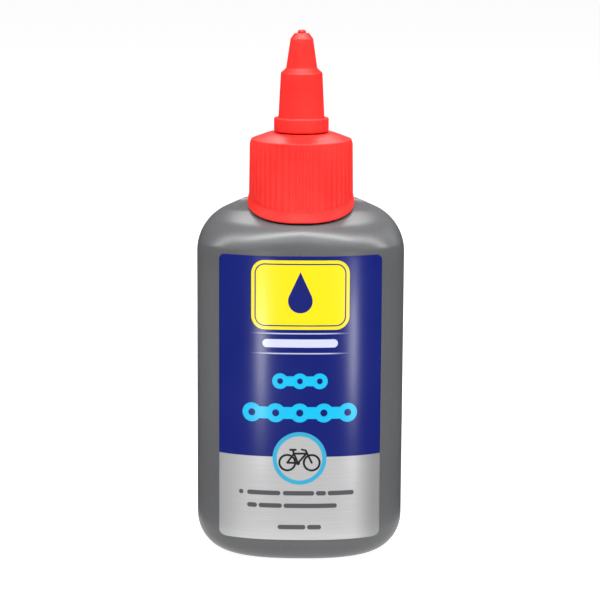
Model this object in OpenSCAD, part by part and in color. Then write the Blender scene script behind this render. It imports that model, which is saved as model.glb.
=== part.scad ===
// Chain lube bottle: an oval blow-moulded bottle with a ribbed press-on closure and a lift-up dosing tip.
// Millimetres. The bottle stands on z = 0, its neck axis is the z axis and its label faces -y.

/* [Bottle] */
// Width of the bottle across its sides
bottle_width = 53; // [50:0.5:56]
// Depth of the bottle from label side to back
bottle_depth = 34.4; // [33:0.2:36]
// Height of the ridge of the shoulder, under the closure
shoulder_height = 92.3; // [90:0.1:96]
// Thickness of the blown wall
bottle_wall = 1.1; // [0.8:0.1:1.4]
// Depth of the push-up under the base
push_up_depth = 1.6; // [1:0.1:2.2]

/* [Closure] */
// Diameter of the ribbed skirt at its top
skirt_top_diameter = 26.2; // [25.6:0.1:26.4]
// Number of grip ribs round the skirt
rib_count = 48; // [36:1:56]
// How far a grip rib stands out from the skirt
rib_relief = 0.28; // [0.2:0.02:0.36]

/* [Tip] */
// How far the dosing tip lifts to open
tip_lift = 3.5; // [2.5:0.1:3.8]
// Diameter of the pull collar of the tip
collar_diameter = 13.9; // [13:0.1:15]
// Diameter of the orifice in the tip
orifice_diameter = 2.2; // [1.8:0.1:2.6]

/* [Label] */
// Width of the front label
label_width = 41; // [36:0.5:42]
// Height of the front label
label_height = 73.2; // [60:0.2:73.4]

/* [Hidden] */
$fn = 96;

// Outline of the bottle in plan
half_width = bottle_width / 2;
half_depth = bottle_depth / 2;
plan_exponent = 2.4;
plan_points = 72;

// Corners and slopes of the blown body
base_corner_side = 9.5;
base_corner_front = 6.2;
shoulder_corner_side = 13;
shoulder_corner_front = 6;
shoulder_slope_side = 24;
shoulder_slope_front = 22.5;
ridge_half_length = 14.1;
ridge_radius = 3;
ridge_half_depth = 0.8;
base_steps = 8;
shoulder_steps = 11;
slope_steps = 4;
crown_parts = [1, 0.5, 0];

// The plan's oval sharpens into a lens between these heights, so that the ridge runs out to the sides
ridge_exponent = 1.3;
lens_start = shoulder_height - 11.3;
lens_full = shoulder_height - 3.1;

// How far a fused form runs into its neighbour
overlap = 0.5;

// Neck of the bottle
neck_radius = 10.3;
neck_bore_radius = 8.8;
neck_top = 105.5;
neck_root = 84;
neck_bead = 0.55;
neck_bead_height = 2.2;
neck_bead_base = 98.6;
neck_lip = 0.4;

// Push-up and standing ring
push_up_radius = 13.5;
push_up_clear = 1;
push_up_sphere = (pow(push_up_radius, 2) + pow(push_up_depth, 2)) / (2 * push_up_depth);
push_up_squash = (half_depth - base_corner_front) / (half_width - base_corner_side);
seam_length = 16;
seam_width = 0.7;
seam_relief = 0.6;

// Closure
fit_gap = 0.1;
shoulder_gap = 0.55;
closure_top = 107.3;
deck_thickness = closure_top - neck_top;
deck_rise = 1.6;
deck_flat_radius = 8.2;
skirt_top_radius = skirt_top_diameter / 2 - rib_relief;
skirt_flare = 0.2;
skirt_flare_height = 14;
skirt_rib_length = 19;
skirt_bore_radius = neck_radius + neck_bead + fit_gap;
skirt_base = shoulder_height - 6.3;
rib_radius = 0.45;
rib_top = closure_top - 0.8;
edge_radius = 0.3;
rim_radius = 13.85;
rim_height = shoulder_height - 1.9;
rim_middle_radius = 13.58;
rim_middle_height = shoulder_height - 0.4;
rim_top_radius = 13.32;
rim_top_height = shoulder_height + 1.1;
rim_rise = 0.6;
rim_slope = 13;
rim_crown = 8;
snap_bead = 0.42;
snap_bead_face = 0.1;
snap_bead_width = 0.6;
snap_bead_height = 1.6;
snap_bead_top = neck_bead_base - fit_gap;
plug_length = 5;
plug_wall = 0.9;
plug_lead = 0.3;
plug_lead_height = 0.8;

// Chimney and pin inside the tip
chimney_radius = 4.1;
chimney_bore_radius = 3.1;
chimney_top = 121.5;
chimney_bead = 0.22;
chimney_bead_height = 0.9;
chimney_edge = 0.3;
spider_height = 3;
spider_width = 1;
spider_drop = 0.5;
pin_root_radius = 1.6;
pin_root_rise = 3;
pin_radius = orifice_diameter / 2 - fit_gap / 2;
pin_neck_height = 131.6;
pin_top = 134.8;
pin_edge = 0.6;
pin_edge_half = pin_edge * (1 - cos(45));

// Face of the beads that stop the tip at its open end
stop_face = 0.05;

// Tip
tip_gap = 0.3;
tip_base = closure_top + deck_rise + tip_gap;
collar_height = 3.4;
collar_edge = 0.3;
collar_top = tip_base + collar_height;
lower_cone_base_radius = 5.85;
lower_cone_top_radius = 5.25;
lower_cone_top = 124;
upper_cone_base_radius = 3.94;
upper_cone_base = 125.2;
upper_cone_top_radius = 2.85;
upper_cone_top = 132.6;
tip_top = 134;
tip_top_radius = 1.9;
tip_edge = 0.25;
tip_edge_height = 0.55;
tip_bore_gap = 0.06;
tip_bore_radius = chimney_radius + chimney_bead + tip_bore_gap;
tip_bore_top = 123;
tip_inner_top = 131.9;
tip_inner_top_radius = 1.9;
tip_inner_base_radius = 2.95;
tip_bead_gap = 0.07;
tip_bead = tip_bore_radius - chimney_radius - tip_bead_gap;
tip_bead_height = 0.9;
chimney_bead_drop = 4.2;
tip_bead_top = chimney_top - chimney_bead_drop - tip_lift;
chimney_bead_base = tip_bead_top + tip_lift;

// Label
label_thickness = 0.12;
label_glue_gap = 0.01;
label_base = 6.5;
label_corner = 1.5;

// Half size in plan at height z: a base arc, the wall, a corner arc and a straight slope up to (reach, top)
function plan_reach(z, size, base, corner, slope, reach, top, foot) =
    let (arc_centre = top - (size - corner + corner * sin(slope) - reach) * tan(slope) - corner * cos(slope))
    let (arc_end = arc_centre + corner * cos(slope))
    z < foot + base ? size - base + sqrt(max(0, pow(base, 2) - pow(foot + base - z, 2)))
    : z < arc_centre ? size
    : z < arc_end ? size - corner + sqrt(pow(corner, 2) - pow(z - arc_centre, 2))
    : reach + (top - z) / tan(slope);

// Half width of the round that tops the front and back slopes, at height z below its crown
function crown_reach(z, ridge, radius) =
    max(ridge_half_depth, sqrt(max(0, pow(radius, 2) - pow(radius - (ridge - z), 2))));

// Where that round meets the slopes: half width, and drop below its crown
function crown_edge(radius) = radius * sin(shoulder_slope_front);
function crown_drop(radius) = radius * (1 - cos(shoulder_slope_front));

// One point of the rounded oval with half sizes a and b
function oval_point(a, b, turn, exponent) = [
    a * sign(cos(turn)) * pow(abs(cos(turn)), 2 / exponent),
    b * sign(sin(turn)) * pow(abs(sin(turn)), 2 / exponent)
];

function oval(a, b, exponent) =
    [for (i = [0 : plan_points - 1]) oval_point(a, b, 360 * i / plan_points, exponent)];

// Exponent of the section at height z of the outer form
function section_exponent(z) =
    let (part = min(1, max(0, (z - lens_start) / (lens_full - lens_start))))
    plan_exponent + (ridge_exponent - plan_exponent) * part;

// Oval section of the body at height z, with every wall moved in by inset
function body_oval(z, inset) =
    let (ridge = shoulder_height - inset)
    let (crown = ridge_radius - inset)
    let (a = plan_reach(z, half_width - inset, base_corner_side - inset, shoulder_corner_side - inset,
        shoulder_slope_side, ridge_half_length - inset / 2, ridge, inset))
    let (b = z > ridge - crown_drop(crown) ? crown_reach(z, ridge, crown)
        : plan_reach(z, half_depth - inset, base_corner_front - inset, shoulder_corner_front - inset,
        shoulder_slope_front, crown_edge(crown), ridge - crown_drop(crown), inset))
    oval(a, b, section_exponent(z + inset));

// Heights of the sections, from the base to just under the ridge
function body_levels(inset) =
    let (ridge = shoulder_height - inset)
    let (drop = crown_drop(ridge_radius - inset))
    let (base = base_corner_side - inset)
    let (corner = shoulder_corner_side - inset)
    let (size = half_width - inset)
    let (centre = ridge - (size - corner + corner * sin(shoulder_slope_side) - ridge_half_length + inset / 2)
        * tan(shoulder_slope_side) - corner * cos(shoulder_slope_side))
    let (turn = 90 - shoulder_slope_side)
    let (top = centre + corner * cos(shoulder_slope_side))
    concat(
        [for (i = [0 : base_steps]) inset + base * (1 - cos(90 * i / base_steps))],
        [for (i = [0 : shoulder_steps]) centre + corner * sin(turn * i / shoulder_steps)],
        [for (i = [1 : slope_steps - 1]) top + (ridge - drop - top) * i / slope_steps],
        [for (part = crown_parts) ridge - drop * part]
    );

// Solid lofted through the oval sections that lie above low
module body_form(inset, low) {
    levels = concat([low], [for (z = body_levels(inset)) if (z > low) z]);
    rings = len(levels);
    points = [for (z = levels) for (p = body_oval(z, inset)) [p[0], p[1], z]];
    faces = concat(
        [[for (i = [0 : plan_points - 1]) i]],
        [for (r = [0 : rings - 2]) for (i = [0 : plan_points - 1])
            [r * plan_points + i, (r + 1) * plan_points + i, r * plan_points + (i + 1) % plan_points]],
        [for (r = [0 : rings - 2]) for (i = [0 : plan_points - 1])
            [r * plan_points + (i + 1) % plan_points, (r + 1) * plan_points + i,
                (r + 1) * plan_points + (i + 1) % plan_points]],
        [[for (i = [plan_points - 1 : -1 : 0]) (rings - 1) * plan_points + i]]
    );
    polyhedron(points = points, faces = faces);
}

// Shallow ellipsoid cap that makes the push-up, moved up by lift
module push_up_form(lift) {
    intersection() {
        scale([1, push_up_squash, 1])
            translate([0, 0, push_up_depth + lift - push_up_sphere])
                sphere(r = push_up_sphere);
        translate([-half_width, -half_depth, -push_up_clear])
            cube([bottle_width, bottle_depth, push_up_depth + lift + push_up_clear * 2]);
    }
}

// Profile of the neck with its snap bead and rounded lip
module neck_form() {
    rotate_extrude()
        polygon([
            [0, neck_root],
            [neck_radius, neck_root],
            [neck_radius, neck_bead_base],
            [neck_radius + neck_bead, neck_bead_base + neck_bead],
            [neck_radius + neck_bead, neck_bead_base + neck_bead * 2],
            [neck_radius, neck_bead_base + neck_bead_height],
            [neck_radius, neck_top - neck_lip],
            [neck_radius - neck_lip, neck_top],
            [0, neck_top]
        ]);
}

module bottle() {
    color([0.40, 0.41, 0.42])
        difference() {
            union() {
                body_form(0, 0);
                neck_form();
            }
            difference() {
                body_form(bottle_wall, bottle_wall);
                push_up_form(bottle_wall);
            }
            difference() {
                push_up_form(0);
                translate([-seam_length / 2, -seam_width / 2, push_up_depth - seam_relief])
                    cube([seam_length, seam_width, seam_relief * 2]);
            }
            translate([0, 0, neck_root])
                cylinder(h = neck_top - neck_root + overlap, r = neck_bore_radius);
        }
}

// Long form along x that fills the space under a gable with a rounded crown at height top
module gable_below(top, slope, crown) {
    reach = rim_radius * 1.5;
    edge = crown * sin(slope);
    eave = top - crown * (1 - cos(slope));
    rotate([90, 0, 90])
        translate([0, 0, -reach])
            linear_extrude(height = reach * 2)
                union() {
                    polygon([
                        [-reach, skirt_base - reach],
                        [reach, skirt_base - reach],
                        [reach, eave - (reach - edge) * tan(slope)],
                        [edge, eave],
                        [-edge, eave],
                        [-reach, eave - (reach - edge) * tan(slope)]
                    ]);
                    translate([0, top - crown])
                        circle(r = crown);
                }
}

module skirt_ribs() {
    lean = atan(skirt_flare / skirt_flare_height);
    for (i = [0 : rib_count - 1])
        rotate([0, 0, 360 * (i + 0.5) / rib_count])
            translate([skirt_top_radius + rib_relief - rib_radius, 0, rib_top])
                rotate([0, 180 - lean, 0])
                    cylinder(h = skirt_rib_length, r = rib_radius, $fn = 24);
}

module skirt_shell() {
    low_radius = skirt_top_radius + skirt_flare * (closure_top - skirt_base) / skirt_flare_height;
    rotate_extrude()
        polygon([
            [skirt_bore_radius, skirt_base],
            [low_radius, skirt_base],
            [skirt_top_radius, closure_top - edge_radius],
            [skirt_top_radius - edge_radius, closure_top],
            [skirt_bore_radius, closure_top]
        ]);
}

// Flared rim below the ribs, higher at the front and the back than at the sides
module rim() {
    intersection() {
        rotate_extrude()
            polygon([
                [skirt_bore_radius, skirt_base],
                [rim_radius, skirt_base],
                [rim_radius, rim_height],
                [rim_middle_radius, rim_middle_height],
                [rim_top_radius, rim_top_height],
                [skirt_bore_radius, rim_top_height]
            ]);
        gable_below(shoulder_height + rim_rise, rim_slope, rim_crown);
    }
}

// Deck, sloped outside, with the chimney and the plug seal
module closure_deck() {
    rotate_extrude()
        polygon([
            [chimney_bore_radius, closure_top - deck_thickness],
            [neck_bore_radius - fit_gap - plug_wall, closure_top - deck_thickness],
            [neck_bore_radius - fit_gap - plug_wall, closure_top - deck_thickness - plug_length],
            [neck_bore_radius - fit_gap - plug_lead, closure_top - deck_thickness - plug_length],
            [neck_bore_radius - fit_gap, closure_top - deck_thickness - plug_length + plug_lead_height],
            [neck_bore_radius - fit_gap, closure_top - deck_thickness],
            [skirt_bore_radius + overlap, closure_top - deck_thickness],
            [skirt_top_radius - edge_radius, closure_top],
            [deck_flat_radius, closure_top + deck_rise],
            [chimney_radius, closure_top + deck_rise],
            [chimney_radius, chimney_bead_base],
            [chimney_radius + chimney_bead, chimney_bead_base + stop_face],
            [chimney_radius, chimney_bead_base + chimney_bead_height],
            [chimney_radius, chimney_top - chimney_edge],
            [chimney_radius - chimney_edge, chimney_top],
            [chimney_bore_radius, chimney_top]
        ]);
}

// Bead inside the skirt that grips under the bead of the neck
module snap_ring() {
    rotate_extrude()
        polygon([
            [skirt_bore_radius + overlap, snap_bead_top],
            [skirt_bore_radius - snap_bead, snap_bead_top - snap_bead_face],
            [skirt_bore_radius - snap_bead, snap_bead_top - snap_bead_width],
            [skirt_bore_radius, snap_bead_top - snap_bead_height],
            [skirt_bore_radius + overlap, snap_bead_top - snap_bead_height]
        ]);
}

// Three thin walls across the chimney carry the pin and leave windows for the flow
module pin_and_spider() {
    for (i = [0 : 2])
        rotate([0, 0, 120 * i + 90])
            translate([0, -spider_width / 2, chimney_top - spider_height])
                cube([chimney_bore_radius + overlap, spider_width, spider_height - spider_drop]);
    rotate_extrude()
        polygon([
            [0, chimney_top - spider_height],
            [pin_root_radius, chimney_top - spider_height],
            [pin_root_radius, chimney_top + pin_root_rise],
            [pin_radius, pin_neck_height],
            [pin_radius, pin_top - pin_edge],
            [pin_radius - pin_edge_half, pin_top - pin_edge_half],
            [pin_radius - pin_edge, pin_top],
            [0, pin_top]
        ]);
}

module closure() {
    color([0.93, 0.16, 0.13])
        union() {
            difference() {
                union() {
                    skirt_shell();
                    skirt_ribs();
                    rim();
                    snap_ring();
                }
                body_form(-shoulder_gap, skirt_base - overlap);
            }
            closure_deck();
            pin_and_spider();
        }
}

module tip() {
    color([0.95, 0.18, 0.15])
        rotate_extrude()
            polygon([
                [tip_bore_radius, tip_base],
                [collar_diameter / 2 - collar_edge, tip_base],
                [collar_diameter / 2, tip_base + collar_edge],
                [collar_diameter / 2, collar_top - collar_edge],
                [collar_diameter / 2 - collar_edge, collar_top],
                [lower_cone_base_radius, collar_top],
                [lower_cone_top_radius, lower_cone_top],
                [upper_cone_base_radius, upper_cone_base],
                [upper_cone_top_radius, upper_cone_top],
                [upper_cone_top_radius - tip_edge, upper_cone_top + tip_edge_height],
                [tip_top_radius, tip_top],
                [orifice_diameter / 2, tip_top],
                [orifice_diameter / 2, tip_inner_top],
                [tip_inner_top_radius, tip_inner_top],
                [tip_inner_base_radius, upper_cone_base],
                [tip_bore_radius, tip_bore_top],
                [tip_bore_radius, tip_bead_top],
                [tip_bore_radius - tip_bead, tip_bead_top - stop_face],
                [tip_bore_radius, tip_bead_top - tip_bead_height]
            ]);
}

module label() {
    color([0.16, 0.22, 0.50])
        intersection() {
            translate([0, 0, label_base])
                linear_extrude(height = label_height)
                    difference() {
                        polygon(oval(half_width + label_glue_gap + label_thickness,
                            half_depth + label_glue_gap + label_thickness, plan_exponent));
                        polygon(oval(half_width + label_glue_gap, half_depth + label_glue_gap, plan_exponent));
                    }
            rotate([90, 0, 0])
                linear_extrude(height = half_depth + overlap)
                    union() {
                        translate([-label_width / 2 + label_corner, label_base])
                            square([label_width - label_corner * 2, label_height]);
                        translate([-label_width / 2, label_base + label_corner])
                            square([label_width, label_height - label_corner * 2]);
                        for (side = [-1, 1])
                            for (up = [label_base + label_corner, label_base + label_height - label_corner])
                                translate([side * (label_width / 2 - label_corner), up])
                                    circle(r = label_corner, $fn = 32);
                    }
        }
}

bottle();
closure();
tip();
label();
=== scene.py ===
import math

import bmesh
import bpy
from mathutils import Matrix, Vector


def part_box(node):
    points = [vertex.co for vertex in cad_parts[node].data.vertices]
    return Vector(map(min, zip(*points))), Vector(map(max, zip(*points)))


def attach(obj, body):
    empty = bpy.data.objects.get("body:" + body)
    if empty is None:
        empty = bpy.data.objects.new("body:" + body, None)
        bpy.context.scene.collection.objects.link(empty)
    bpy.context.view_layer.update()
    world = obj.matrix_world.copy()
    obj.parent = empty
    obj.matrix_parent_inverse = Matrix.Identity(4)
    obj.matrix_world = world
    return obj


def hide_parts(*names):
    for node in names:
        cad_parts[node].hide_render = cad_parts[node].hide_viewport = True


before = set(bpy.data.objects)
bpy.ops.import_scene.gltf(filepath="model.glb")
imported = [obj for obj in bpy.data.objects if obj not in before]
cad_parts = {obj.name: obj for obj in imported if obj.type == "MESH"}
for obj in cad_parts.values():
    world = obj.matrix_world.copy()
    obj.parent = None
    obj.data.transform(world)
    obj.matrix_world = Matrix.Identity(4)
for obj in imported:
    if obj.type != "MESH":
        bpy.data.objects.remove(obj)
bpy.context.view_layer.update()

MM = 0.001


# Sizes read from the frame, in millimetres

def box_mm(node):
    """Lowest and highest corner of a node's box."""
    low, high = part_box(node)
    return [v / MM for v in low], [v / MM for v in high]


bottle_high = box_mm("bottle")[1]
closure_high = box_mm("closure")[1]
tip_low, tip_high = box_mm("tip")
label_low, label_high = box_mm("label")

HALF_WIDTH = bottle_high[0]
HALF_DEPTH = bottle_high[1]
NECK_TOP = bottle_high[2]

# Form of the bottle, the same as in the part's source
PLAN_EXPONENT = 2.4
RIDGE_EXPONENT = 1.3
LENS_START = 81.0
LENS_FULL = 89.2
WALL = 1.1
BASE_CORNER_SIDE = 9.5
BASE_CORNER_FRONT = 6.2
SHOULDER_HEIGHT = 92.3
SHOULDER_CORNER_SIDE = 13.0
SHOULDER_CORNER_FRONT = 6.0
SLOPE_SIDE = math.radians(24)
SLOPE_FRONT = math.radians(22.5)
RIDGE_HALF_LENGTH = 14.1
RIDGE_RADIUS = 3.0
RIDGE_HALF_DEPTH = 0.8
NECK_RADIUS = 10.3
NECK_BORE = 8.8
NECK_BEAD = 0.55
NECK_BEAD_BASE = 98.6
PUSH_UP_DEPTH = 1.6
PUSH_UP_RADIUS = 13.5
PUSH_UP_SPHERE = (PUSH_UP_RADIUS ** 2 + PUSH_UP_DEPTH ** 2) / (2 * PUSH_UP_DEPTH)
PUSH_UP_SQUASH = (HALF_DEPTH - BASE_CORNER_FRONT) / (HALF_WIDTH - BASE_CORNER_SIDE)

# The mould's parting line, which only this script adds
PARTING_RELIEF = 0.05
PARTING_TURN = 0.004
PARTING_COLUMNS = (0.0026, 0.0076)
PARTING_END_SQUARE = 1.2

# The seam across the push-up, rounder here than in the part's source
SEAM_HALF_LENGTH = 8.0
SEAM_HALF_WIDTH = 0.35
SEAM_HALF_HEIGHT = 0.45
SEAM_LIFT = 0.1
SEAM_LEAST_SHARE = 0.05

# Form of the closure
CLOSURE_TOP = 107.3
SKIRT_BORE = 10.95
SKIRT_FLARE = 0.2 / 14
SKIRT_ROUND = 0.3
RIB_COUNT = 48
RIB_RELIEF = 0.28
RIB_ROUND = 0.45
RIB_SUNK = 0.17
RIB_HALF_PITCH = 0.85
RIB_STRETCH = 0.85
SKIRT_TOP_DIAMETER = 26.2
SKIRT_RADIUS = SKIRT_TOP_DIAMETER / 2 - RIB_RELIEF
RIM_RADIUS = closure_high[1]
RIM_TOP_RADIUS = 13.32
RIM_TOP = 93.4
RIM_FLARE_HEIGHT = 3.0
RIM_RISE = 0.6
RIM_SLOPE = math.radians(13)
RIM_CROWN = 8.0
RIM_BAND_RADIUS = 13.35
RIM_BAND_LEAST = 0.75
RIM_EDGE_HEIGHT = 0.42
SHOULDER_GAP = 0.55
DECK_RISE = 1.6
DECK_UNDERSIDE = 105.5
SNAP_BEAD = 0.42
PLUG_RADIUS = 8.7
PLUG_BORE = 7.8
PLUG_BASE = 100.5
CHIMNEY_RADIUS = 4.1
CHIMNEY_BORE = 3.1
CHIMNEY_TOP = 121.5
CHIMNEY_MIDDLE = 112.0
PIN_BASE = 118.5
PIN_RADIUS = 1.6
PIN_HEAD_RADIUS = 1.05
PIN_ROOT_TOP = 124.5
PIN_NECK_HEIGHT = 131.6
PIN_TOP = closure_high[2]
PIN_WALL_TOP = 121.0
PIN_WALL_HALF = 0.5
PIN_WALL_REACH = (1.2, 3.5)

# Form of the tip
TIP_BASE = tip_low[2]
TIP_TOP = tip_high[2]
TIP_TOP_RADIUS = 1.8
TIP_BORE = 4.38
TIP_BORE_TOP = 123.0
TIP_BEAD_BORE = 4.17
COLLAR_RADIUS = tip_high[0]
COLLAR_TOP = TIP_BASE + 3.4
LOWER_CONE_BASE_RADIUS = 5.85
LOWER_CONE_TOP_RADIUS = 5.25
LOWER_CONE_TOP = 124.0
UPPER_CONE_BASE_RADIUS = 3.94
UPPER_CONE_TOP_RADIUS = 2.85
UPPER_CONE_BASE = 125.2
UPPER_CONE_TOP = 132.6
ORIFICE_RADIUS = 1.1
ORIFICE_BASE = 131.9
INNER_CONE_BASE_RADIUS = 2.95
INNER_CONE_TOP_RADIUS = 1.9

# Form of the label
LABEL_CORNER = 1.5
LABEL_BACK = 0.01
LABEL_EDGE = 0.03
LABEL_FRONT = 0.125
LABEL_PLAN_HEIGHT = 40
UV_SPAN = 100

# Steps and small distances that lay out the meshes
BOTTLE_TURNS = 288
PUSH_UP_ROWS = 18
FOOT_ROWS = 6
INNER_BASE_ROWS = 16
BASE_ARC_ROWS = 26
WALL_ROWS = 30
OUTER_SHOULDER_ROWS = 60
INNER_SHOULDER_ROWS = 30
SHOULDER_STEPS = 240
NECK_CLEARANCE = 0.05
SEARCH_FLOOR = 70.0
SEARCH_HALVINGS = 36
SEAM_TURNS = 10
SEAM_ROWS = 40
RIB_TURNS = 16
RIB_ROWS = 33
FLARE_ROWS = 11
LABEL_COLUMNS = 120
LABEL_ROWS = 110
LABEL_CORNER_ROWS = 10
LABEL_STATIONS = 400
PIN_TURNS = 48
TIP_TURNS = 160
TIP_ROW_HEIGHT = 1.2
ARC_LEG_SHARE = 0.48


# Sections of the bottle

def corner_middle(size, corner, slope, reach, top):
    """Height of the middle of the corner arc between the wall and the slope."""
    middle = top - (size - corner + corner * math.sin(slope) - reach) * math.tan(slope)
    return middle - corner * math.cos(slope)


def plan_reach(z, size, base, corner, slope, reach, top, foot):
    """Half size in plan at height z: base arc, wall, corner arc, slope."""
    middle = corner_middle(size, corner, slope, reach, top)
    if z < foot + base:
        return size - base + math.sqrt(max(0.0, base ** 2 - (foot + base - z) ** 2))
    if z < middle:
        return size
    if z < middle + corner * math.cos(slope):
        return size - corner + math.sqrt(corner ** 2 - (z - middle) ** 2)
    return reach + (top - z) / math.tan(slope)


def half_sizes(z, inset=0.0):
    """Half width and half depth of the oval at height z, moved in by inset."""
    ridge = SHOULDER_HEIGHT - inset
    crown = RIDGE_RADIUS - inset
    drop = crown * (1 - math.cos(SLOPE_FRONT))
    a = plan_reach(z, HALF_WIDTH - inset, BASE_CORNER_SIDE - inset, SHOULDER_CORNER_SIDE - inset,
                   SLOPE_SIDE, RIDGE_HALF_LENGTH - inset / 2, ridge, inset)
    if z > ridge - drop:
        b = max(RIDGE_HALF_DEPTH, math.sqrt(max(0.0, crown ** 2 - (crown - (ridge - z)) ** 2)))
    else:
        b = plan_reach(z, HALF_DEPTH - inset, BASE_CORNER_FRONT - inset, SHOULDER_CORNER_FRONT - inset,
                       SLOPE_FRONT, crown * math.sin(SLOPE_FRONT), ridge - drop, inset)
    return a, b


def section_exponent(z):
    """Exponent of the oval at height z of the outer form: a lens towards the ridge."""
    part = min(1.0, max(0.0, (z - LENS_START) / (LENS_FULL - LENS_START)))
    return PLAN_EXPONENT + (RIDGE_EXPONENT - PLAN_EXPONENT) * part


def oval_point(z, turn, inset=0.0, scale=1.0):
    """Point at this turn of the oval section at height z, moved in by inset."""
    a, b = half_sizes(z, inset)
    c, s = math.cos(turn), math.sin(turn)
    power = 2 / section_exponent(z + inset)
    return (math.copysign(abs(c) ** power, c) * a * scale, math.copysign(abs(s) ** power, s) * b * scale)


def surface_height(x, y, inset=0.0):
    """Height of the shoulder over the point x, y, moved in by inset, found by halving."""
    low, high = SEARCH_FLOOR, SHOULDER_HEIGHT - inset
    for _ in range(SEARCH_HALVINGS):
        z = (low + high) / 2
        a, b = half_sizes(z, inset)
        power = section_exponent(z + inset)
        if (abs(x) / a) ** power + (abs(y) / b) ** power > 1:
            high = z
        else:
            low = z
    return low


# Mesh helpers

def mesh_mm(name, points, faces):
    """Mesh from points in millimetres."""
    mesh = bpy.data.meshes.new(name)
    mesh.from_pydata([(x * MM, y * MM, z * MM) for x, y, z in points], [], faces)
    return mesh


def add_object(name, mesh, material):
    """Object of this mesh with one material, linked to the scene."""
    mesh.materials.append(material)
    obj = bpy.data.objects.new(name, mesh)
    bpy.context.scene.collection.objects.link(obj)
    return obj


def shade_smooth(mesh):
    mesh.polygons.foreach_set("use_smooth", [True] * len(mesh.polygons))


def new_object(name, points, faces, material, body, nodes=()):
    """Smooth piece from points in millimetres that rides a body and may replace CAD nodes."""
    mesh = mesh_mm(name, points, faces)
    mesh.validate()
    work = bmesh.new()
    work.from_mesh(mesh)
    bmesh.ops.remove_doubles(work, verts=work.verts, dist=1e-7)
    bmesh.ops.recalc_face_normals(work, faces=work.faces)
    work.to_mesh(mesh)
    work.free()
    shade_smooth(mesh)
    obj = add_object(name, mesh, material)
    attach(obj, body)
    if nodes:
        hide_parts(*nodes)


def turns_round(count):
    """Evenly spaced turns round the z axis."""
    return [2 * math.pi * i / count for i in range(count)]


def circle_points(radius, count):
    """Points (x, y) of a circle round the z axis."""
    return [(radius * math.cos(turn), radius * math.sin(turn)) for turn in turns_round(count)]


def ring_points(columns):
    """Points of equally long columns, ring by ring."""
    return [tuple(column[r]) for r in range(len(columns[0])) for column in columns]


def rings_to_faces(ring_count, size, closed_loop=False):
    """Quads between rings of equal size; closed_loop joins the last ring to the first."""
    faces = []
    spans = ring_count if closed_loop else ring_count - 1
    for r in range(spans):
        low = r * size
        high = ((r + 1) % ring_count) * size
        for i in range(size):
            j = (i + 1) % size
            faces.append((low + i, low + j, high + j, high + i))
    return faces


def rounded_outline(corners, steps=5):
    """A closed outline whose corners (x, y, radius) are rounded with arcs."""
    out = []
    count = len(corners)
    for i, (x, y, radius) in enumerate(corners):
        here = Vector((x, y))
        if radius <= 0:
            out.append((x, y))
            continue
        before = Vector(corners[i - 1][:2]) - here
        after = Vector(corners[(i + 1) % count][:2]) - here
        angle = before.angle(after)
        reach = radius / math.tan(angle / 2)
        reach = min(reach, before.length * ARC_LEG_SHARE, after.length * ARC_LEG_SHARE)
        radius = reach * math.tan(angle / 2)
        start = here + before.normalized() * reach
        end = here + after.normalized() * reach
        middle = (before.normalized() + after.normalized()).normalized()
        centre = here + middle * math.hypot(reach, radius)
        first = math.atan2(start.y - centre.y, start.x - centre.x)
        final = math.atan2(end.y - centre.y, end.x - centre.x)
        turn = (final - first + math.pi) % (2 * math.pi) - math.pi
        for k in range(steps + 1):
            angle = first + turn * k / steps
            out.append((centre.x + radius * math.cos(angle), centre.y + radius * math.sin(angle)))
    return out


def revolve(outline, size):
    """Points and faces of a closed outline (radius, z) turned round the z axis."""
    points = [(x, y, z) for r, z in outline for x, y in circle_points(r, size)]
    return points, rings_to_faces(len(outline), size, closed_loop=True)


def join(parts):
    """One list of points and one of faces from several pairs of them."""
    points, faces = [], []
    for part_points, part_faces in parts:
        offset = len(points)
        points += part_points
        faces += [tuple(v + offset for v in face) for face in part_faces]
    return points, faces


# Node helpers

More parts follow.
